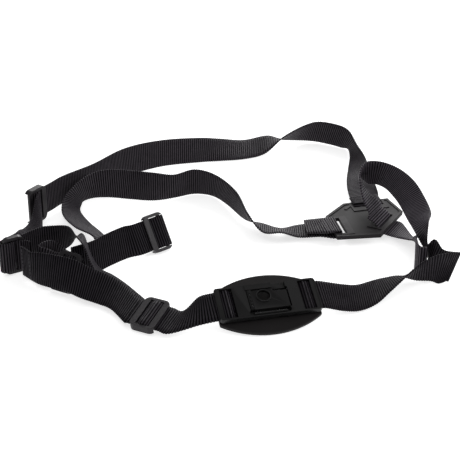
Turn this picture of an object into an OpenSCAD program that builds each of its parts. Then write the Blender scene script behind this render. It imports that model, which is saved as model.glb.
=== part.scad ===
// Webbing carrying harness for an avalanche transceiver: a chest dock on an
// oval back pad, a hexagonal back plate, and 25 mm straps with sliders.
// Millimetres, +Z up, chest side towards -Y, straps lying loose on edge on
// the ground at Z = 0. The origin is under the middle of the whole harness.

/* [Webbing] */
// Width of every strap
web_w = 25; // [24:0.5:25]
// Thickness of the webbing
web_t = 1.5; // [1.2:0.1:1.6]

/* [Dock plate] */
// Length of the plate across the chest
dock_l = 75; // [74:0.5:77]
// Height of the plate
dock_h = 28.4; // [28.4:0.2:29.6]
// Thickness of the plate
dock_t = 3.6; // [3.6:0.1:3.8]
// Radius of the bore for the transceiver's locating stud
stud_bore_r = 4.6; // [4:0.2:4.6]
// Length of the oval pad behind the plate
pad_l = 75; // [70:1:78]
// Height of the oval pad
pad_h = 52; // [46:1:52]
// Thickness of the oval pad
pad_t = 3; // [2.4:0.2:3]

/* [Sliders] */
// Length of a slider along the strap
slider_l = 20; // [19:0.5:21]
// Height of a slider across the strap
slider_h = 30.6; // [30.2:0.2:30.8]
// Thickness of a slider's bars
bar_t = 1.6; // [1.4:0.1:1.7]

/* [Back plate] */
// Thickness of the back plate
plate_t = 3.2; // [2.8:0.2:3.4]

/* [Hidden] */
$fn = 48;

// Place of the ground point under the harness in the layout coordinates
middle = [0.1, 156.9, -0.4];

gap = 0.25;                      // running gap between webbing and a bar
slot_w = web_w + 0.7;            // opening across a strap
half_w = web_w / 2;
channel = web_t / 2 + gap;       // from the webbing's middle to a bar
slider_t = 2 * (channel + bar_t);

// ---- vectors ----
function unit(v) = v / norm(v);
function square_to(y, x) = unit(y - (y * x) * x);

// A frame is [centre, x axis, y axis, normal]
function frame(c, x, y) =
    let (ux = unit(x), uy = square_to(y, ux)) [c, ux, uy, cross(ux, uy)];
function at_point(f, p) = f[0] + p.x * f[1] + p.y * f[2] + p.z * f[3];

module place(f) {
    m = [[f[1].x, f[2].x, f[3].x, f[0].x],
         [f[1].y, f[2].y, f[3].y, f[0].y],
         [f[1].z, f[2].z, f[3].z, f[0].z],
         [0, 0, 0, 1]];
    translate(-middle) multmatrix(m) children();
}

// ---- frames of the hard parts, in layout coordinates ----
yaw = 13;                        // the dock turns with the chest strap
tilt = 22;                       // the dock lies back on its pad
dock = frame([27, 13.5, 16.2], [cos(yaw), sin(yaw), 0],
             [-sin(yaw) * cos(tilt), cos(yaw) * cos(tilt), sin(tilt)]);
chest = frame([-57, 7, 7.5], [90, -43, 0], [42, 88, 22]);
shoulder = frame([-159, 166, 15.5], [56, 83, 0], [0, 0, 1]);
middle_f = frame([-122, 57.8, 13.9], [85, -46, 0], [10, 62, 76]);
end_f = frame([-58, 120, 14], [78, 62, 0], [-20, 52, 83]);
ring = frame([-165, 82, 15.5], [87, 50, 0], [0, 0, 1]);
plate = frame([109, 157, 8], [1, 0, 0], [0, 1, 0]);
sewn = frame([-152, 67, 15.5], [14, -15, 0], [0, 0, 1]);

// ---- straps: each station is [lower edge x y z, upper edge x y z] ----
// A station across the strap at point p of frame f
function rung(f, p) =
    concat(at_point(f, p - [0, half_w, 0]), at_point(f, p + [0, half_w, 0]));
// The same with the two edges swapped
function swap(s) = [s[3], s[4], s[5], s[0], s[1], s[2]];

// A slanted crease at the right side, where the strap turns back: the two
// layers lie fold_r either side of the crease line
fold_r = 1.2;
crease = [[163, 64, 2.5], [174, 80, 19]];
fold_out = [0.9, -0.1, -0.45];
fold_back = [-0.3, 0.85, -0.5];
function fold() =
    [for (s = [-90, -45, 0])
        let (d = fold_r * (cos(s) * fold_out + sin(s) * fold_back))
        concat(crease[1] + d, crease[0] + d)];
function fold_rest() =
    [for (s = [0, 45, 90])
        let (d = fold_r * (cos(s) * fold_out + sin(s) * fold_back))
        concat(crease[0] + d, crease[1] + d)];

under = -dock_t / 2 - channel;   // webbing under the dock's body
window_x = 29;                   // middle of a strap window in the dock

// The strap leaves from under the dock, humps over the window's middle bar
// and passes under the end bar: [along, out of the plate]
dock_path = [[6, under], [16, under], [21, -2.75], [24.4, -2.2], [29, 0.9],
             [32.8, -0.5], [36, -0.8], [41, -1]];

route_chest_left = concat(
    [for (p = dock_path) rung(dock, [-p[0], 0, p[1]])],
    [[-23, -7, 8, -23, 15, 17]],
    [for (x = [21, 12, 0, -13, -15]) rung(chest, [x, 0, 0])],
    [[-86, 17, 7, -78, 38, 15], [-97, 25, 6.5, -90, 45, 19],
     [-109, 33, 6, -104, 51, 22], [-120, 40, 7, -116, 54, 27],
     [-131, 47, 6, -128, 58, 28], [-142, 56, 4, -140, 62, 28]],
    [for (x = [5, 0, -8]) rung(sewn, [x, 0, 0])]);

ring_l = 17;                     // length of the side ring

// Webbing round a bar of the ring: [from the ring's middle, forwards]
right_wrap = [[11, 8.5], [8, 4.8], [4.4, 3.8], [2, 0], [4.4, -3.8], [8, -4.6]];
left_wrap = [[-1, -6.5], [-5, -4.4], [-8.8, -3.4], [-10.6, 0], [-8.8, 3.4],
             [-5, 3.9], [-1.2, 3]];

route_adjuster = concat(
    [for (p = right_wrap) rung(ring, [p[0], 0, p[1]])],
    [[-147, 103, 3, -147, 103, 28], [-135, 107, 4, -135, 105, 28],
     [-125, 106, 10, -124, 96, 32], [-118, 99, 22, -116, 77, 34],
     [-112, 90, 28, -109, 66, 31], [-106, 79, 17, -103, 55, 22],
     [-99, 72, 9, -96, 48, 12], [-88, 61, 9, -92, 38, 7],
     [-77, 48, 9, -84, 26, 3], [-67, 35, 8.5, -76, 13, 2],
     [-61, 28, 7, -70, 6, 1.6]]);

route_chest_right = concat(
    [for (p = dock_path) rung(dock, [p[0], 0, p[1]])],
    [[83, 17, 5, 81, 40, 14], [95, 22, 2, 93, 46, 10],
     [107, 29, 3, 104, 54, 8.5], [118, 38, 9, 115, 62, 6],
     [129, 47, 15, 128, 69, 4], [140, 54, 22, 141, 68, 1],
     [151, 60, 26, 152, 66, 1], [165, 70, 23, 158, 64, 1]],
    fold());

slot_in = 7;                     // from a plate side to its slot's middle
slot_open = 5;                   // width of a slot

// Frames in the back plate's three slots, x across the slot
front_slot = frame([88.4, 140.9, 8], [35, 7, 0], [-7, 35, 0]);
rear_slot = frame([114.8, 178.2, 8], [10, -38, 0], [38, 10, 0]);
side_slot = frame([124.9, 149.4, 8], [40, -22, 0], [22, 40, 0]);

// A strap end turned round a rim bar, [across the slot, up], and the side
// strap going down through its slot and out under the rim
rim_wrap = [[-13, 2.75], [-7, 2.7], [-3.4, 2.65], [-2, 2.5], [-1.5, 1.2],
            [-1.5, 0], [-1.5, -1.2], [-2, -2.5], [-3.4, -2.7], [-8, -2.7]];
slot_drop = [[-9, 7], [-4, 4.6], [-1, 2.2], [0, 0], [1, -2.2], [5, -3.4],
             [11, -4]];

route_side = concat(fold_rest(),
    [[151, 71, 2.5, 163, 87, 17.5], [152, 85, 2, 156, 86, 26.5],
     [154, 99, 4.5, 150, 84, 23.5], [145, 108, 20, 151, 93, 37], [140, 126, 25, 155, 114, 36],
     [137, 146, 25, 152, 136, 40], [133, 160, 25, 147, 152, 45],
     [128, 176, 25, 138, 168, 47], [122, 187, 24, 126, 180, 47],
     [115, 189, 24, 114, 182, 47], [108, 190, 29, 107, 172, 46],
     [108, 183, 28, 105, 162, 40], [114, 176, 22, 107, 152, 28],
     [124, 169, 16, 112, 145, 18]],
    [for (p = slot_drop) swap(rung(side_slot, [p[0], 0, p[1]]))],
    [[146, 141, 1, 138, 119, 9], [150, 128, 1, 142, 109, 14],
     [147, 108, 1, 143, 98, 23.5], [143.5, 92, 0.5, 142.5, 89, 25.3],
     [142.5, 83, 0.5, 142.5, 81, 25.4], [145, 77.5, 0.5, 145, 76, 25.4],
     [149.5, 77.5, 0.5, 149.5, 76, 25.4]]);

route_rear = concat(
    [for (p = rim_wrap) rung(rear_slot, [p[0], 0, p[1]])],
    [[102, 197, 4, 126, 203, 5], [101, 232, 4, 124, 222, 10],
     [105, 262, 2, 123, 246, 9], [109, 290, 1, 120, 270, 12],
     [109, 308, 1, 114, 289, 15], [103, 313, 1, 108, 303, 21],
     [94, 319, 1, 99, 312, 23], [78, 326, 1, 82, 318, 24],
     [63, 324, 3, 68, 311, 23], [49, 314, 8, 49, 293, 20],
     [33, 316, 10, 31, 295, 3], [12, 310, 9, 13, 287, 1],
     [-10, 304, 13, -9, 283, 1], [-29, 299, 16, -28, 280, 1],
     [-62, 287, 19, -62, 271, 1], [-93, 262, 22, -91, 252, 1],
     [-117, 226, 24, -116, 221, 1]],
    [for (x = [36, 20, 6, -9]) swap(rung(shoulder, [x, 0, 0]))]);

route_front = concat(
    [[61, 131, 8, 60, 155, 6.5]],
    [for (p = rim_wrap) rung(front_slot, [p[0], 0, p[1]])],
    [[72, 130, 5.4, 72, 154, 4.6], [55, 131, 4.5, 55, 154, 2.5], [41, 124, 12, 41, 146, 4],
    [26, 131, 9, 27, 154, 4], [14, 146, 18, 13, 164, 3],
    [5, 180, 21, -2, 194, 1], [-12, 205, 23, -14, 212, 1],
    [-30, 214, 24, -30, 217, 1], [-48, 204, 24, -48, 209, 1],
    [-66, 208, 24, -66, 204, 1], [-86, 216, 22, -84, 207, 1],
    [-104, 214, 24, -103, 210, 1], [-118, 206, 23, -116, 210, 1],
    [-129, 192, 20, -125, 203, 1], [-137, 175, 15, -126, 190, 3],
    [-136, 155, 12, -124, 175, 4], [-124, 132, 13, -114, 153, 5],
    [-106, 111, 14, -101, 132, 5], [-105, 94, 3, -95, 116, 3],
    [-118, 84, 3, -110, 107, 3], [-131, 77, 2, -126, 98, 9], [-139, 77, 3, -137, 84, 27],
     [-145, 72, 3, -144, 74, 27]],
    [for (x = [-17, -12, 0, 8, 11]) rung(middle_f, [x, 0, 0])]);

route_link = concat(
    [[-155, 164, 3, -155, 164, 28], [-153, 150, 3, -157, 158, 26],
     [-151, 126, 2, -159, 143, 15], [-155, 106, 3, -163, 122, 15],
     [-162, 92, 3, -164, 96, 27]],
    [for (p = left_wrap) rung(ring, [p[0], 0, p[1]])]);

// The end strap turns round the far bar of its slider
end_wrap = [[-19, 0], [-8, 0], [1, 0], [6.5, 0.2], [9.3, -0.5], [10.6, -2.6],
            [9.3, -4.8], [6, -5.5], [-3, -5.6], [-11, -5.6]];

route_end = concat(
    [[-118, 68, 1, -121, 80, 23], [-112, 72, 1, -115, 84, 23],
     [-102, 79, 1, -105, 91, 23], [-92, 88, 2, -96, 100, 24],
     [-79, 99, 3, -84, 111, 24]],
    [for (p = end_wrap) rung(end_f, [p[0], 0, p[1]])]);

// ---- sweeping a strap along its stations ----
rings_per_span = 4;

function spline(p0, p1, p2, p3, t) =
    ((2 * p1) + (p2 - p0) * t + (2 * p0 - 5 * p1 + 4 * p2 - p3) * t * t
     + (3 * p1 - p0 - 3 * p2 + p3) * t * t * t) / 2;
function split(s) =
    let (a = [s[0], s[1], s[2]], b = [s[3], s[4], s[5]])
    [(a + b) / 2, b - a];
function mid_at(r, i) = split(r[max(0, min(len(r) - 1, i))])[0];
function way_at(r, i) = split(r[max(0, min(len(r) - 1, i))])[1];
// A station longer than the webbing's width is a slanted crease
function long_at(r, i) =
    let (n = norm(way_at(r, i))) n > web_w + 1.6 ? n : web_w;

function stations(r) =
    [for (i = [0 : len(r) - 2]) for (k = [0 : rings_per_span - 1])
        [i, k / rings_per_span],
     [len(r) - 2, 1]];
function middles(r) =
    [for (s = stations(r))
        spline(mid_at(r, s[0] - 1), mid_at(r, s[0]),
               mid_at(r, s[0] + 1), mid_at(r, s[0] + 2), s[1])];
function ways(r) =
    [for (s = stations(r))
        unit(spline(way_at(r, s[0] - 1), way_at(r, s[0]),
                    way_at(r, s[0] + 1), way_at(r, s[0] + 2), s[1]))
        * (long_at(r, s[0]) * (1 - s[1]) + long_at(r, s[0] + 1) * s[1])];

module ribbon(r) {
    m = middles(r);
    w = ways(r);
    last = len(m) - 1;
    points = [for (i = [0 : last])
        let (t = m[min(last, i + 1)] - m[max(0, i - 1)],
             n = unit(cross(w[i], t)) * web_t / 2,
             h = w[i] / 2)
        each [m[i] - h - n, m[i] + h - n, m[i] + h + n, m[i] - h + n]];
    sides = [for (i = [0 : last - 1]) for (k = [0 : 3])
        let (a = 4 * i + k, b = 4 * i + (k + 1) % 4)
        each [[a, b, b + 4], [a, b + 4, a + 4]]];
    e = 4 * last;
    ends = [[0, 3, 2], [0, 2, 1], [e, e + 1, e + 2], [e, e + 2, e + 3]];
    translate(-middle) polyhedron(points, concat(sides, ends));
}

module chest_strap_left() { color("#222226") ribbon(route_chest_left); }
module adjuster_strap() { color("#222226") ribbon(route_adjuster); }
module chest_strap_right() { color("#222226") ribbon(route_chest_right); }
module side_strap() { color("#222226") ribbon(route_side); }
module shoulder_strap_rear() { color("#222226") ribbon(route_rear); }
module shoulder_strap_front() { color("#222226") ribbon(route_front); }
module link_strap() { color("#222226") ribbon(route_link); }
module end_strap() { color("#222226") ribbon(route_end); }

// ---- hard parts ----
// A rounded plate in the XY plane, centred
module rounded(l, h, r, t) {
    translate([0, 0, -t / 2])
        linear_extrude(t)
            union() {
                square([l - 2 * r, h], center = true);
                square([l, h - 2 * r], center = true);
                for (x = [-1, 1], y = [-1, 1])
                    translate([x * (l / 2 - r), y * (h / 2 - r)])
                        circle(r);
            }
}

module box(x0, x1, y0, y1, z0, z1) {
    translate([x0, y0, z0]) cube([x1 - x0, y1 - y0, z1 - z0]);
}

bar_w = 4.6;                     // width of a slider's end bars
mid_w = 3;                       // width of its middle bar
corner_r = 4.6;
end_slider_l = 18;               // the end slider is a little shorter

// A slider of length len: its end bars pass in front of the strap and its
// middle bar behind it. The end slider has no middle bar: the strap turns
// round its +X bar, which is behind the strap.
module slider(len, strap_end = false) {
    l = len / 2;
    s = slot_w / 2;
    z = slider_t / 2;
    difference() {
        rounded(len, slider_h, corner_r, slider_t);
        box(-l - 1, l + 1, -s, s, -z - 1, channel);
        box(bar_w - l, l - bar_w, -s, s, 0, z + 1);
        if (strap_end) box(l - bar_w - 1, l + 1, -s, s, 0, z + 1);
    }
    if (!strap_end)
        box(-mid_w / 2, mid_w / 2, -s - 0.5, s + 0.5, -z, -channel);
    if (strap_end)
        box(l - 3.4, l - 0.8, -s - 0.5, s + 0.5, -z, -channel);
}

module chest_slider() { color("#2c2c30") place(chest) slider(slider_l); }
module shoulder_slider() { color("#2c2c30") place(shoulder) slider(slider_l); }
module middle_slider() { color("#2c2c30") place(middle_f) slider(slider_l); }
module end_slider() { color("#2c2c30") place(end_f) slider(end_slider_l, true); }

ring_t = 4;
module side_ring() {
    color("#2c2c30") place(ring)
        difference() {
            rounded(ring_l, slider_h, corner_r, ring_t);
            box(4 - ring_l / 2, ring_l / 2 - 4, -slot_w / 2, slot_w / 2,
                -ring_t, ring_t);
        }
}

// Dock plate
tongue = [-14, 15, -8, 9];       // x and y range of the catch tongue
tongue_gap = 0.5;
window_w = 9.2;
mid_bar_w = 2;
relief = 4;                      // room for the strap to rise in a window
notch = [4.5, 15, 7];            // x range and lower side of the hook notch

// Rounded notch in the upper edge for the transceiver's hook
module hook_notch(depth) {
    linear_extrude(10)
        hull() {
            translate([notch[0] + 3 - depth, notch[2] + 3 - depth]) circle(3);
            translate([notch[0] + 3 - depth, 16]) circle(3);
            translate([notch[1] - 1, 16]) square(1);
            translate([notch[1] - 1, notch[2] - depth]) square(1);
        }
}

module dock_plate() {
    z = dock_t / 2;
    s = web_w / 2 + 0.35;
    l = dock_l / 2;
    color("#1c1c1f") place(dock) {
        difference() {
            union() {
                rounded(dock_l, dock_h, 2.5, dock_t);
                // the raised guide beside the hook notch
                box(tongue[0] - 1, notch[0], tongue[3] + tongue_gap,
                    dock_h / 2 - 0.4, 0, z + 0.6);
            }
            for (side = [-1, 1]) {
                translate([side * window_x, 0, 0])
                    box(-window_w / 2, window_w / 2, -s, s, -z - 1, z + 1);
                // the end bar passes in front of the strap
                translate([side * l, 0, 0])
                    box(-6, 6, -s, s, -z - 1, 0.6);
                translate([side * (window_x - window_w / 2), 0, 0])
                    box(-relief, relief, -s, s, -z - 1, -0.7);
            }
            box(tongue[0] - tongue_gap, tongue[1] + 1, tongue[2] - tongue_gap,
                tongue[3] + tongue_gap, -z - 1, z + 1);
            translate([0, 0, -0.4]) hook_notch(0);
            // round-ended trough below the tongue
            hull() for (x = [tongue[0] + 1, tongue[1] - 2.6])
                translate([x, -10.6, -0.9]) cylinder(h = 4, r = 2.6);
        }
        for (side = [-1, 1])
            translate([side * window_x, 0, 0])
                box(-mid_bar_w / 2, mid_bar_w / 2, -s - 0.5, s + 0.5,
                    -z, -0.9);
        // the rolled lip along the trough
        translate([tongue[0] + 2, -10.8, -0.2]) rotate([0, 90, 0])
            cylinder(h = tongue[1] - tongue[0] - 5, r = 1.1);
    }
}

stud_at = [-2.5, 3.3];
module catch_tongue() {
    z = dock_t / 2;
    color("#202024") place(dock)
        difference() {
            union() {
                box(tongue[0], tongue[1], tongue[2], tongue[3], -0.2, z - 0.2);
                // the raised thumb rib at the free end, with its grip pips
                box(tongue[0], tongue[0] + 3, tongue[2], tongue[3], 0, z + 0.5);
                for (y = [-6.3 : 3.4 : 8])
                    translate([tongue[0] + 1.5, y, z])
                        cylinder(h = 0.9, r = 0.8);
                translate([stud_at.x, stud_at.y, 0])
                    cylinder(h = z + 0.4, r = stud_bore_r + 1);
            }
            translate([stud_at.x, stud_at.y, -1])
                cylinder(h = dock_t + 2, r = stud_bore_r);
            translate([0, 0, -1]) hook_notch(0.3);
        }
}

pad_gap = 2 * channel;           // room for the straps behind the dock
pad_z = -dock_t / 2 - pad_gap - pad_t / 2;
arc_r = 65;                      // radius of the pad's long edges
module back_pad() {
    color("#18181a") place(dock) translate([0, 0, pad_z - pad_t / 2])
        linear_extrude(pad_t)
            intersection() {
                translate([0, pad_h / 2 - arc_r]) circle(arc_r, $fn = 96);
                translate([0, arc_r - pad_h / 2]) circle(arc_r, $fn = 96);
                square([pad_l, pad_h], center = true);
            }
}

post_r = 0.7;
module pad_posts() {
    color("#18181a") place(dock)
        for (x = [-12, 12], y = [-13.5, 13.5])
            translate([x, y, -dock_t / 2 - pad_gap])
                cylinder(h = pad_gap, r = post_r);
}

// Back plate: corners about its middle
plate_corners = [[-31, 0], [-15, 23], [23, 33], [33, 9], [11, -31], [-24, -35]];

module plate_slot(a, b) {
    d = unit(b - a);
    inward = [-d.y, d.x];
    c = (a + b) / 2 - inward * slot_in;
    translate([c.x, c.y, 0])
        rotate([0, 0, atan2(d.y, d.x)])
            cube([slot_w, slot_open, plate_t * 2], center = true);
}

// The rim bar beside a slot, which stays at the full thickness
module rim_bar(a, b) {
    d = unit(b - a);
    inward = [-d.y, d.x];
    c = (a + b) / 2 - inward * slot_in;
    translate([c.x, c.y])
        rotate([0, 0, atan2(d.y, d.x)])
            square([slot_w + 5, 2 * slot_in + 3], center = true);
}

module back_plate() {
    c = plate_corners;
    color("#2e2e32") place(plate)
        difference() {
            union() {
                translate([0, 0, -plate_t / 2])
                    linear_extrude(plate_t - 0.6) polygon(c);
                // raised border and rim bars round a shallow recess
                translate([0, 0, plate_t / 2 - 0.7])
                    linear_extrude(0.7) {
                        difference() { polygon(c); offset(-2.4) polygon(c); }
                        intersection() {
                            polygon(c);
                            union() {
                                rim_bar(c[5], c[0]);
                                rim_bar(c[1], c[2]);
                                rim_bar(c[3], c[4]);
                            }
                        }
                        translate([-13, 12]) rotate(57) square([8, 2.2]);
                        translate([-6, 16]) rotate(57) square([4, 2.2]);
                    }
            }
            plate_slot(c[5], c[0]);
            plate_slot(c[1], c[2]);
            plate_slot(c[3], c[4]);
        }
}

// ---- stitching ----
// Two rows of stitches across a strap at places xs of frame f, h above its
// middle line: each stitch is a short thread sunk halfway in the webbing
module stitch_rows(f, xs, h) {
    color("#151517") place(f)
        for (x = xs, k = [-3 : 3])
            box(x - 0.3, x + 0.3, k * 3.2 - 1.1, k * 3.2 + 1.1,
                h + web_t / 2 - 0.25, h + web_t / 2 + 0.2);
}
module front_tail_stitches() { stitch_rows(front_slot, [-12.2, -8.2], 2.72); }
module rear_tail_stitches() { stitch_rows(rear_slot, [-12, -8.2], 2.72); }
module ring_loop_stitches() { stitch_rows(sewn, [-6.2, 3], 0); }

dock_plate();
catch_tongue();
back_pad();
pad_posts();
chest_strap_left();
adjuster_strap();
chest_strap_right();
side_strap();
shoulder_strap_rear();
shoulder_strap_front();
link_strap();
end_strap();
chest_slider();
shoulder_slider();
middle_slider();
end_slider();
side_ring();
back_plate();
front_tail_stitches();
rear_tail_stitches();
ring_loop_stitches();
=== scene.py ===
# Look of the transceiver harness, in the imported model's frame (metres, +Z up).
# Routes are written in millimetres in the layout coordinates of the CAD source,
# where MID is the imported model's origin.
import math

import bmesh
import bpy
import numpy as np
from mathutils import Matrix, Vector


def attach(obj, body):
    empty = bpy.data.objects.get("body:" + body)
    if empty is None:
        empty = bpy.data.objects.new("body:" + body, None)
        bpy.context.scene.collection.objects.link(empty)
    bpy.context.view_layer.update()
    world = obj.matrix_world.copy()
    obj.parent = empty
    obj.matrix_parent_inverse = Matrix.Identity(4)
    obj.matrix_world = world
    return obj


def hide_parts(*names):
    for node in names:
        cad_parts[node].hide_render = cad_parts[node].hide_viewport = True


MM = 0.001
MID = np.array([0.1, 156.9, -0.4])
EYE = np.array([0, -780, 495])     # camera, in layout millimetres
EYE_TILT = 62                      # degrees from straight down

WEB_WIDTH = 25.0
SLANTED = 26.6                     # a longer station is a slanted crease and keeps its length
RIB_PITCH = 1.9                    # rib spacing of the webbing
STATIONS_PER_RIB = 4
HALF_THIN = 0.36                   # half the webbing's thickness between two ribs
RIB_RISE = 0.40                    # how far a rib stands above that
EDGE_NOTCH = 0.26                  # how far each edge draws in between two ribs
EDGE_RISE = 0.05                   # how far each edge stands out on a rib past the nominal width

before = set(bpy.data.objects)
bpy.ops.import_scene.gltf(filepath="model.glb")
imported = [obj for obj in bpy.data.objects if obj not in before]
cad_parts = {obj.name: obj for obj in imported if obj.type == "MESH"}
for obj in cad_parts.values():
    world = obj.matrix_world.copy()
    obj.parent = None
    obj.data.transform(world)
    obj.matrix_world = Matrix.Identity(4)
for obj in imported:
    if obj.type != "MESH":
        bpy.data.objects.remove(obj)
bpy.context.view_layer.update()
collection = bpy.context.scene.collection


# ---------------------------------------------------------------- camera
def make_camera():
    data = bpy.data.cameras.new("camera")
    data.lens = 101.2
    data.sensor_width = 36
    data.clip_end = 20
    camera = bpy.data.objects.new("camera", data)
    camera.location = ((EYE - MID) * MM).tolist()
    camera.rotation_euler = (math.radians(EYE_TILT), 0, 0)
    collection.objects.link(camera)
    bpy.context.scene.camera = camera


make_camera()


# ---------------------------------------------------------------- materials
class Nodes:
    """Short way to build a node material."""

    def __init__(self, name):
        self.m = bpy.data.materials.new(name)
        self.m.use_nodes = True
        self.t = self.m.node_tree
        self.b = self.t.nodes["Principled BSDF"]

    def add(self, kind, **values):
        n = self.t.nodes.new(kind)
        for k, v in values.items():
            if hasattr(n, k):
                setattr(n, k, v)
            else:
                n.inputs[k.replace("_", " ")].default_value = v
        return n

    def link(self, a, b):
        self.t.links.new(a, b)

    def ramp(self, source, stops):
        r = self.add("ShaderNodeValToRGB")
        e = r.color_ramp.elements
        while len(e) < len(stops):
            e.new(0.5)
        for i, (p, c) in enumerate(stops):
            e[i].position = p
            e[i].color = (*c, 1) if hasattr(c, "__len__") else (c, c, c, 1)
        self.link(source, r.inputs["Fac"])
        return r.outputs["Color"]

    def noise(self, coords, scale, detail=3.0, rough=0.55):
        n = self.add("ShaderNodeTexNoise")
        n.inputs["Scale"].default_value = scale
        n.inputs["Detail"].default_value = detail
        n.inputs["Roughness"].default_value = rough
        self.link(coords, n.inputs["Vector"])
        return n.outputs["Fac"]

    def bump(self, height, strength, distance, normal=None):
        n = self.add("ShaderNodeBump")
        n.inputs["Strength"].default_value = strength
        n.inputs["Distance"].default_value = distance
        self.link(height, n.inputs["Height"])
        if normal is not None:
            self.link(normal, n.inputs["Normal"])
        self.link(n.outputs["Normal"], self.b.inputs["Normal"])
        return n.outputs["Normal"]


def webbing_material(name, base, light):
    """Woven polyamide: fine twill and faint mottling, with painted shade in the valleys between the ribs and
    a painted highlight on the rib crests.

    base is the colour between the ribs and light the painted highlight colour on top of them.
    """
    n = Nodes(name)
    uv = n.add("ShaderNodeUVMap", uv_map="weave").outputs["UV"]
    # the rib attribute carries the painted rib light of each strap
    rib = n.add("ShaderNodeAttribute", attribute_name="rib").outputs["Fac"]
    obj = n.add("ShaderNodeTexCoord").outputs["Object"]
    twill = n.add("ShaderNodeTexWave", wave_type="BANDS", bands_direction="DIAGONAL")
    twill.inputs["Scale"].default_value = 0.62
    twill.inputs["Distortion"].default_value = 0.6
    twill.inputs["Detail"].default_value = 1.0
    n.link(uv, twill.inputs["Vector"])
    mott = n.noise(obj, 160.0, 4.0, 0.6)
    broad = n.noise(obj, 22.0, 2.0)
    total = rib
    for part, weight in ((mott, 0.16), (twill.outputs["Fac"], 0.10), (broad, 0.12)):
        add = n.add("ShaderNodeMath", operation="MULTIPLY_ADD")
        n.link(part, add.inputs[0])
        add.inputs[1].default_value = weight
        n.link(total, add.inputs[2])
        total = add.outputs[0]
    # painted shade in the rib valleys, an eighth of base, and a painted highlight of light on the crests
    valley_shade = tuple(0.12 * a for a in base)
    colour = n.ramp(total, [(0.2, valley_shade), (0.55, base), (0.92, light), (1.0, light)])
    n.link(colour, n.b.inputs["Base Color"])
    n.link(n.ramp(total, [(0.3, 0.0), (0.9, 0.14)]), n.b.inputs["Specular IOR Level"])
    n.b.inputs["Roughness"].default_value = 0.55
    n.b.inputs["Sheen Weight"].default_value = 0.035
    n.b.inputs["Sheen Roughness"].default_value = 0.4
    n.b.inputs["Sheen Tint"].default_value = (0.80, 0.74, 0.86, 1)
    first = n.bump(twill.outputs["Fac"], 0.5, 0.0002)
    n.bump(mott, 0.35, 0.0002, first)
    return n.m


def plastic_material(name, base, rough, spec, grain=0.3, scale=900.0):
    """Moulded plastic: fine spark texture, mottled gloss and a paler colour on sharp convex edges, found by
    Pointiness.
    """
    n = Nodes(name)
    obj = n.add("ShaderNodeTexCoord").outputs["Object"]
    fine = n.noise(obj, scale, 3.0, 0.6)
    broad = n.noise(obj, 55.0, 4.0, 0.6)
    edge = n.add("ShaderNodeNewGeometry").outputs["Pointiness"]
    # paler on sharp convex edges: where Pointiness is high the colour goes to 1.7 times base
    convex_edge_paling = n.ramp(edge, [(0.5, 0.0), (0.58, 1.0)])
    mix = n.add("ShaderNodeMix", data_type="RGBA")
    n.link(convex_edge_paling, mix.inputs["Factor"])
    shade = n.ramp(broad, [(0.3, tuple(0.85 * c for c in base)), (0.7, tuple(1.15 * c for c in base))])
    n.link(shade, mix.inputs[6])
    mix.inputs[7].default_value = (*[min(1, 1.7 * c + 0.008) for c in base], 1)
    n.link(mix.outputs[2], n.b.inputs["Base Color"])
    n.link(n.ramp(broad, [(0.25, rough - 0.06), (0.75, rough + 0.07)]), n.b.inputs["Roughness"])
    n.b.inputs["Specular IOR Level"].default_value = spec
    first = n.bump(fine, grain, 0.0001)
    n.bump(broad, 0.06, 0.0004, first)
    return n.m


# The webbing is one material in four copies: the deep copy is painted shade, and the pale and side copies
# are painted light, standing in for how differently each strap is lit along its way.
WEB = webbing_material("webbing", (0.0060, 0.0050, 0.0064), (0.036, 0.031, 0.038))
WEB_PAINTED_SHADE = webbing_material("webbing_painted_shade", (0.0030, 0.0026, 0.0034), (0.022, 0.0185, 0.024))
WEB_PAINTED_LIGHT = webbing_material("webbing_painted_light", (0.0100, 0.0086, 0.0105), (0.051, 0.0445, 0.053))
WEB_SIDE_PAINTED_LIGHT = webbing_material("webbing_side_painted_light", (0.0120, 0.0103, 0.0126), (0.075, 0.066, 0.079))

DOCK = plastic_material("dock_plastic", (0.0026, 0.0025, 0.0026), rough=0.24, spec=0.17, grain=0.2)
TONGUE = plastic_material("catch_plastic", (0.0032, 0.0031, 0.0032), rough=0.20, spec=0.20, grain=0.12)
PAD = plastic_material("pad_skin", (0.0065, 0.0056, 0.0058), rough=0.50, spec=0.10, grain=0.5, scale=500.0)
SLIDER = plastic_material("slider_plastic", (0.0120, 0.0105, 0.0122), rough=0.36, spec=0.17)
PLATE = plastic_material("plate_plastic", (0.0120, 0.0105, 0.0115), rough=0.55, spec=0.06)
THREAD = plastic_material("thread", (0.020, 0.018, 0.021), rough=0.6, spec=0.2, grain=0.6, scale=2000.0)


# ---------------------------------------------------------------- frames
def unit(v):
    v = np.asarray(v, float)
    return v / np.linalg.norm(v)


def frame_of(c, x, y):
    """A frame from its centre, its x direction and a y direction that is squared up."""
    x = unit(x)
    y = np.asarray(y, float)
    y = unit(y - (y @ x) * x)
    return np.asarray(c, float), x, y, np.cross(x, y)


def at(f, p):
    return f[0] + p[0] * f[1] + p[1] * f[2] + p[2] * f[3]


def rung(f, x, z, half=WEB_WIDTH / 2):
    """A station of webbing across frame f: its two edges, one after the other."""
    return [*at(f, (x, -half, z)), *at(f, (x, half, z))]


def swap(s):
    """The same station with its edges the other way about."""
    return [*s[3:], *s[:3]]


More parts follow.
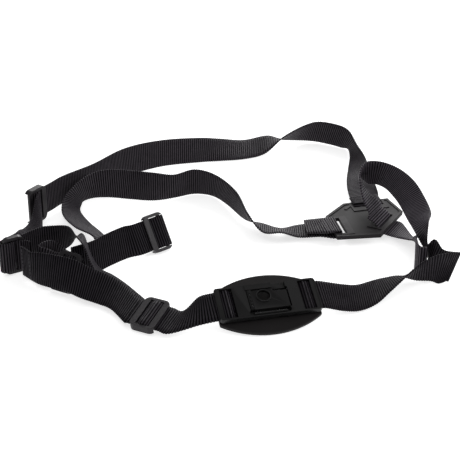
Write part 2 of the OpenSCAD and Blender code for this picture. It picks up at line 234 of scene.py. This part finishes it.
yaw, tilt = math.radians(13), math.radians(22)
dock = frame_of([27, 13.5, 16.2], [math.cos(yaw), math.sin(yaw), 0],
                [-math.sin(yaw) * math.cos(tilt), math.cos(yaw) * math.cos(tilt), math.sin(tilt)])
chest = frame_of([-57, 7, 7.5], [90, -43, 0], [42, 88, 22])
shoulder = frame_of([-159, 166, 15.5], [56, 83, 0], [0, 0, 1])
middle_f = frame_of([-122, 57.8, 13.9], [85, -46, 0], [10, 62, 76])
end_f = frame_of([-58, 120, 14], [78, 62, 0], [-20, 52, 83])
ring = frame_of([-165, 82, 15.5], [87, 50, 0], [0, 0, 1])
sewn = frame_of([-152, 67, 15.5], [14, -15, 0], [0, 0, 1])
front_slot = frame_of([88.4, 140.9, 8], [35, 7, 0], [-7, 35, 0])
rear_slot = frame_of([114.8, 178.2, 8], [10, -38, 0], [38, 10, 0])
side_slot = frame_of([124.9, 149.4, 8], [40, -22, 0], [22, 40, 0])

# ---------------------------------------------------------------- routes
# How the webbing goes round each part: x and z in the part's own frame
UNDER = -2.8
dock_path = [
    [6, UNDER], [16, UNDER], [21, -2.75], [24.4, -2.2], [29, 0.9], [32.8, -0.5], [36, -0.8], [41, -1]]
right_wrap = [[11, 8.5], [8, 4.8], [4.4, 3.8], [2, 0], [4.4, -3.8], [8, -4.6]]
left_wrap = [
    [-1, -6.5], [-5, -4.4], [-8.8, -3.4], [-10.6, 0], [-8.8, 3.4], [-5, 3.9], [-1.2, 3], [0, 3.1]]
rim_wrap = [
    [-13, 2.75], [-7, 2.7], [-3.4, 2.65], [-2, 2.5], [-1.5, 1.2], [-1.5, 0], [-1.5, -1.2], [-2, -2.5],
    [-3.4, -2.7], [-8, -2.7]]
slot_drop = [[-9, 7], [-4, 4.6], [-1, 2.2], [0, 0], [1, -2.2], [5, -3.4], [11, -4]]
end_wrap = [
    [-19, 0], [-8, 0], [-3, 0.2], [0.5, 1.2], [4, 1.9], [7.5, 1.3], [9.8, -0.5], [10.6, -2.6],
    [9.3, -4.8], [6, -5.5], [-3, -5.6], [-11, -5.6]]
slider_hump = [[-4.3, 1.5], [-3.1, 1.8], [-1.6, 2.6], [0, 2.95], [1.6, 2.6], [3.1, 1.8], [4.3, 1.5]]

# The slanted crease on the right: its two ends, and the way out of the fold and back from it
crease = (np.array([163, 64, 2.5]), np.array([174, 80, 19]))
FOLD_OUT = np.array([0.9, -0.1, -0.45])
FOLD_BACK = np.array([-0.3, 0.85, -0.5])
FOLD_R = 1.2


def fold(angles):
    """Stations round the crease, from -90 (coming) to 90 (leaving)."""
    stations = []
    for a in angles:
        a = math.radians(a)
        d = FOLD_R * (math.cos(a) * FOLD_OUT + math.sin(a) * FOLD_BACK)
        stations.append([*(crease[0] + d), *(crease[1] + d)])
    return stations


# Each station outside a part: one edge of the webbing, then the other
route_chest_left = (
    [rung(dock, -x, z) for x, z in dock_path]
    + [[-23, -7, 8, -23, 15, 17]]
    + [rung(chest, x, 0) for x in (21, 12, 0, -13, -15)]
    + [[-86, 17, 7, -78, 38, 15], [-97, 25, 6.5, -90, 45, 19], [-109, 33, 6, -104, 51, 22],
       [-120, 40, 7, -116, 54, 27], [-131, 47, 6, -128, 58, 28], [-142, 56, 4, -140, 62, 28]]
    + [rung(sewn, x, 0) for x in (5, 0, -8)])
route_adjuster = (
    [rung(ring, x, z) for x, z in right_wrap]
    + [[-147, 103, 3, -147, 103, 28], [-135, 107, 4, -135, 105, 28], [-125, 106, 10, -124, 96, 32],
       [-118, 99, 22, -116, 77, 34], [-112, 90, 28, -109, 66, 31], [-106, 79, 17, -103, 55, 22],
       [-99, 72, 9, -96, 48, 12], [-88, 61, 9, -92, 38, 7], [-77, 48, 9, -84, 26, 3],
       [-67, 35, 8.5, -76, 13, 2], [-61, 28, 7, -70, 6, 1.6]])
route_chest_right = (
    [rung(dock, x, z) for x, z in dock_path]
    + [[83, 17, 5, 81, 40, 14], [95, 22, 2, 93, 46, 10], [107, 29, 3, 104, 54, 8.5],
       [118, 38, 9, 115, 62, 6], [129, 47, 15, 128, 69, 4], [140, 54, 22, 141, 68, 1],
       [151, 60, 26, 152, 66, 1], [165, 70, 23, 158, 64, 1]]
    + [swap(s) for s in fold((-90, -45, 0))])
route_side = (
    fold((0, 45, 90))
    + [[151, 71, 2.5, 163, 87, 17.5], [152, 85, 2, 156, 86, 26.5], [154, 99, 4.5, 150, 84, 23.5],
       [145, 108, 20, 151, 93, 37], [140, 126, 25, 155, 114, 36], [137, 146, 25, 152, 136, 40],
       [133, 160, 25, 147, 152, 45], [128, 176, 25, 138, 168, 47], [122, 187, 24, 126, 180, 47],
       [115, 189, 24, 114, 182, 47], [108, 190, 29, 107, 172, 46], [108, 183, 28, 105, 162, 40],
       [114, 176, 22, 107, 152, 28], [124, 169, 16, 112, 145, 18]]
    + [swap(rung(side_slot, x, z)) for x, z in slot_drop]
    + [[146, 141, 1, 138, 119, 9], [150, 128, 1, 142, 109, 14], [147, 108, 1, 143, 98, 23.5],
       [143.5, 92, 0.5, 142.5, 89, 25.3], [142.5, 83, 0.5, 142.5, 81, 25.4], [145, 77.5, 0.5, 145, 76, 25.4],
       [149.5, 77.5, 0.5, 149.5, 76, 25.4]])
route_rear = (
    [rung(rear_slot, x, z) for x, z in rim_wrap]
    + [[102, 197, 4, 126, 203, 5], [101, 232, 4, 124, 222, 10], [105, 262, 2, 123, 246, 9],
       [109, 290, 1, 120, 270, 12], [109, 308, 1, 114, 289, 15], [103, 313, 1, 108, 303, 21],
       [94, 319, 1, 99, 312, 23], [78, 326, 1, 82, 318, 24], [63, 324, 3, 68, 311, 23],
       [49, 314, 8, 49, 293, 20], [33, 316, 10, 31, 295, 3], [12, 310, 9, 13, 287, 1],
       [-10, 304, 13, -9, 283, 1], [-29, 299, 16, -28, 280, 1], [-62, 287, 19, -62, 271, 1],
       [-93, 262, 22, -91, 252, 1], [-117, 226, 24, -116, 221, 1]]
    + [swap(rung(shoulder, x, 0)) for x in (36, 20, 6, -9)])
route_front = (
    [[61, 131, 8, 60, 155, 6.5]]
    + [rung(front_slot, x, z) for x, z in rim_wrap]
    + [[72, 130, 5.4, 72, 154, 4.6], [55, 131, 4.5, 55, 154, 2.5], [41, 124, 12, 41, 146, 4],
       [26, 131, 9, 27, 154, 4], [14, 146, 18, 13, 164, 3], [5, 180, 21, -2, 194, 1],
       [-12, 205, 23, -14, 212, 1], [-30, 214, 24, -30, 217, 1], [-48, 204, 24, -48, 209, 1],
       [-66, 208, 24, -66, 204, 1], [-86, 216, 22, -84, 207, 1], [-104, 214, 24, -103, 210, 1],
       [-118, 206, 23, -116, 210, 1], [-129, 192, 20, -125, 203, 1], [-137, 175, 15, -126, 190, 3],
       [-136, 155, 12, -124, 175, 4], [-124, 132, 13, -114, 153, 5], [-106, 111, 14, -101, 132, 5],
       [-105, 94, 3, -95, 116, 3], [-118, 84, 3, -110, 107, 3], [-131, 77, 2, -126, 98, 9],
       [-139, 77, 3, -137, 84, 27], [-145, 72, 3, -144, 74, 27]]
    + [rung(middle_f, x, 0) for x in (-17, -12, 0, 8, 11)])
route_link = (
    [[-155, 164, 3, -155, 164, 28], [-153, 150, 3, -157, 158, 26], [-151, 126, 2, -159, 143, 15],
       [-155, 106, 3, -163, 122, 15], [-162, 92, 3, -164, 96, 27]]
    + [rung(ring, x, z) for x, z in left_wrap])
route_end = (
    [[-118, 68, 1, -121, 80, 23], [-112, 72, 1, -115, 84, 23], [-102, 79, 1, -105, 91, 23],
       [-92, 88, 2, -96, 100, 24], [-79, 99, 3, -84, 111, 24]]
    + [rung(end_f, x, z) for x, z in end_wrap])


# ---------------------------------------------------------------- webbing
def spline(k, i, t):
    """Catmull-Rom through the rows of k."""
    p = [k[max(0, min(len(k) - 1, i + d))] for d in (-1, 0, 1, 2)]
    return ((2 * p[1]) + (p[2] - p[0]) * t + (2 * p[0] - 5 * p[1] + 4 * p[2] - p[3]) * t * t
            + (3 * p[1] - p[0] - 3 * p[2] + p[3]) * t ** 3) / 2


def path_of(route, step):
    """Even stations along a route: centres, unit width vectors, widths, distances, total length."""
    r = np.array(route, float)
    a, b = r[:, :3], r[:, 3:]
    middles, ways = (a + b) / 2, b - a
    widths = np.linalg.norm(ways, axis=1)
    widths = np.where(widths > SLANTED, widths, WEB_WIDTH)
    c, w, wid = [], [], []
    for i in range(len(r) - 1):
        for t in np.linspace(0, 1, 40, endpoint=False):
            c.append(spline(middles, i, t))
            w.append(spline(ways, i, t))
            wid.append(widths[i] * (1 - t) + widths[i + 1] * t)
    c.append(middles[-1])
    w.append(ways[-1])
    wid.append(widths[-1])
    c, w, wid = np.array(c), np.array(w), np.array(wid)
    s = np.concatenate([[0], np.cumsum(np.linalg.norm(np.diff(c, axis=0), axis=1))])
    total = s[-1]
    g = np.linspace(0, total, max(8, int(round(total / step))) + 1)
    c = np.stack([np.interp(g, s, c[:, k]) for k in range(3)], 1)
    w = np.stack([np.interp(g, s, w[:, k]) for k in range(3)], 1)
    w /= np.linalg.norm(w, axis=1)[:, None]
    return c, w, np.interp(g, s, wid), g, total


def webbing_outline():
    """Closed cross-section: across the front, round the edge, back along the rear.

    u runs across the width and v through the thickness, both from -1 to 1.
    """
    across = [-0.97, -0.66, -0.33, 0.0, 0.33, 0.66, 0.97]
    edge_u, edge_v = 0.988, 0.7
    front = [(-1.0, 0.0), (-edge_u, edge_v)] + [(u, 1.0) for u in across]
    edge = [(edge_u, edge_v), (1.0, 0.0), (edge_u, -edge_v)]
    rear = [(u, -1.0) for u in reversed(across)] + [(-edge_u, -edge_v)]
    return front + edge + rear


def ribbon(name, route, body, replaces=(), mat=WEB, painted_light_gains=(1.0, 1.0)):
    """A strap of ribbed webbing along a route; its two gains brighten its first part and the rest as painted
    light and shade.
    """
    c, w, wid, g, total = path_of(route, RIB_PITCH / STATIONS_PER_RIB)
    t = np.gradient(c, axis=0)
    n = np.cross(w, t)
    n /= np.linalg.norm(n, axis=1)[:, None]
    count = len(g)
    wave = np.abs(np.sin(np.pi * ((g / RIB_PITCH) % 1.0)))
    rib = wave ** 0.7
    # painted light and shade along the strap: its first part and the rest each get their own gain, blended
    # between 38 and 48 percent of the way
    painted_light_fade = np.interp(g / total, [0, 0.38, 0.48, 1], [painted_light_gains[0], painted_light_gains[0], painted_light_gains[1], painted_light_gains[1]])
    # painted rib light: a painted highlight on each rib crest and painted shade between, scaled by the
    # strap's gains and stored as the rib attribute
    painted_rib_light = 0.72 * wave ** 1.5 * painted_light_fade
    taper = np.minimum(1, np.minimum(np.arange(count), count - 1 - np.arange(count)) / 3.0)
    half_t = (HALF_THIN + RIB_RISE * rib) * (0.55 + 0.45 * taper)
    half_w = wid / 2 - EDGE_NOTCH * (1 - rib) + EDGE_RISE

    outline = webbing_outline()
    k = len(outline)
    verts = np.zeros((count, k, 3))
    uv = np.zeros((count, k, 2))
    for j, (u, v) in enumerate(outline):
        verts[:, j] = c + w * (half_w * u)[:, None] + n * (half_t * v)[:, None]
        uv[:, j, 0] = half_w * u
        uv[:, j, 1] = g
    verts = (verts - MID) * MM
    faces = []
    for i in range(count - 1):
        for j in range(k):
            j2 = (j + 1) % k
            faces.append((i * k + j, i * k + j2, (i + 1) * k + j2, (i + 1) * k + j))
    faces.append(tuple(range(k - 1, -1, -1)))
    faces.append(tuple((count - 1) * k + j for j in range(k)))

    me = bpy.data.meshes.new(name)
    me.from_pydata(verts.reshape(-1, 3).tolist(), [], faces)
    me.update()
    me.polygons.foreach_set("use_smooth", [True] * len(me.polygons))
    layer = me.uv_layers.new(name="weave")
    corners = np.zeros(len(me.loops), np.int32)
    me.loops.foreach_get("vertex_index", corners)
    layer.data.foreach_set("uv", uv.reshape(-1, 2)[corners].astype(np.float32).ravel())
    attr = me.attributes.new("rib", "FLOAT", "POINT")
    attr.data.foreach_set("value", np.repeat(painted_rib_light, k).astype(np.float32))
    bm = bmesh.new()
    bm.from_mesh(me)
    bmesh.ops.recalc_face_normals(bm, faces=bm.faces)
    bm.to_mesh(me)
    bm.free()

    o = bpy.data.objects.new(name, me)
    collection.objects.link(o)
    me.materials.append(mat)
    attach(o, body)
    if replaces:
        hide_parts(*replaces)
    print("webbing", name, "length", round(total, 1))


# painted shade: the left chest strap wears the shaded copy of the webbing
ribbon("chest_webbing_left", route_chest_left, "harness", ["chest_strap_left"],
       mat=WEB_PAINTED_SHADE)
ribbon("adjuster_webbing", route_adjuster, "harness", ["adjuster_strap"])
# one length of webbing, which two CAD nodes stand for; it wears the side-lit copy of the webbing, with
# painted shade on its chest part and painted light on its side part
ribbon("chest_and_side_webbing", route_chest_right + [swap(s) for s in route_side[1:]], "harness",
       ["chest_strap_right", "side_strap"],
       mat=WEB_SIDE_PAINTED_LIGHT, painted_light_gains=(0.62, 1.2))
# painted light: both shoulder straps wear the lit copy of the webbing
ribbon("shoulder_webbing_rear", route_rear, "harness", ["shoulder_strap_rear"],
       mat=WEB_PAINTED_LIGHT)
ribbon("shoulder_webbing_front", route_front, "harness", ["shoulder_strap_front"],
       mat=WEB_PAINTED_LIGHT)
ribbon("link_webbing", route_link, "harness", ["link_strap"])
# painted shade: the end strap wears the shaded copy of the webbing
ribbon("end_webbing", route_end, "harness", ["end_strap"], mat=WEB_PAINTED_SHADE)

# the webbing humps over each slider's middle bar, and the hump goes with the slider
for name, f in (("chest", chest), ("shoulder", shoulder), ("middle", middle_f)):
    ribbon(f"{name}_slider_webbing_hump", [rung(f, x, z) for x, z in slider_hump], f"{name}_slider")


# ---------------------------------------------------------------- hard parts
def moulded(name, node, body, width, mat, segments=3):
    """A softened copy of a CAD node, with moulded edges rounded to width millimetres."""
    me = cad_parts[node].data.copy()
    o = bpy.data.objects.new(name, me)
    collection.objects.link(o)
    me.materials.clear()
    me.materials.append(mat)
    bm = bmesh.new()
    bm.from_mesh(me)
    bmesh.ops.remove_doubles(bm, verts=bm.verts, dist=1e-6)
    bmesh.ops.dissolve_limit(bm, angle_limit=math.radians(2), verts=bm.verts, edges=bm.edges)
    bm.to_mesh(me)
    bm.free()
    b = o.modifiers.new("edges", "BEVEL")
    b.width = width * MM
    b.segments = segments
    b.limit_method = "ANGLE"
    b.angle_limit = math.radians(38)
    b.use_clamp_overlap = True
    b.harden_normals = False
    me.polygons.foreach_set("use_smooth", [True] * len(me.polygons))
    wn = o.modifiers.new("normals", "WEIGHTED_NORMAL")
    wn.keep_sharp = False
    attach(o, body)
    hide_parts(node)
    return o


moulded("dock_moulding", "dock_plate", "harness", 0.6, DOCK)
moulded("catch_moulding", "catch_tongue", "catch_tongue", 0.35, TONGUE)
pad = moulded("oval_pad", "back_pad", "harness", 0.7, PAD)
for name in ("chest_slider", "shoulder_slider", "middle_slider", "end_slider"):
    moulded(f"{name}_moulding", name, name, 0.95, SLIDER)
moulded("ring_moulding", "side_ring", "harness", 0.8, SLIDER)
moulded("back_plate_moulding", "back_plate", "harness", 0.6, PLATE)
moulded("pad_post_mouldings", "pad_posts", "harness", 0.1, DOCK)
for name in ("front_tail", "rear_tail", "ring_loop"):
    moulded(f"{name}_threads", f"{name}_stitches", "harness", 0.12, THREAD, segments=2)


# ---------------------------------------------------------------- stage
def make_floor(half=6.0):
    """A plain pale floor that reads as white round the object."""
    me = bpy.data.meshes.new("floor")
    corners = [(-half, -half, 0), (half, -half, 0), (half, half, 0), (-half, half, 0)]
    me.from_pydata(corners, [], [(0, 1, 2, 3)])
    floor = bpy.data.objects.new("floor", me)
    collection.objects.link(floor)
    n = Nodes("floor")
    n.b.inputs["Base Color"].default_value = (0.72, 0.72, 0.72, 1)
    n.b.inputs["Emission Color"].default_value = (1, 1, 1, 1)
    n.b.inputs["Emission Strength"].default_value = 0.68
    n.b.inputs["Roughness"].default_value = 0.9
    n.b.inputs["Specular IOR Level"].default_value = 0.1
    me.materials.append(n.m)


def make_world():
    world = bpy.data.worlds.new("studio")
    world.use_nodes = True
    background = world.node_tree.nodes["Background"]
    background.inputs["Color"].default_value = (1, 1, 1, 1)
    background.inputs["Strength"].default_value = 0.42
    bpy.context.scene.world = world


def lamp(name, place, aim, size, watts):
    d = bpy.data.lights.new(name, "AREA")
    d.size = size
    d.energy = watts
    o = bpy.data.objects.new(name, d)
    o.location = place
    away = Vector(aim) - Vector(place)
    o.rotation_euler = away.to_track_quat("-Z", "Y").to_euler()
    collection.objects.link(o)


make_floor()
make_world()
lamp("front", (-0.2, -0.9, 1.3), (0, 0, 0), size=0.8, watts=4)
lamp("back", (0.15, 1.3, 0.75), (0, 0, 0), size=1.0, watts=22)
lamp("side", (1.4, -0.2, 0.8), (0.05, 0, 0), size=0.7, watts=9)
bpy.context.scene.view_settings.view_transform = "Standard"
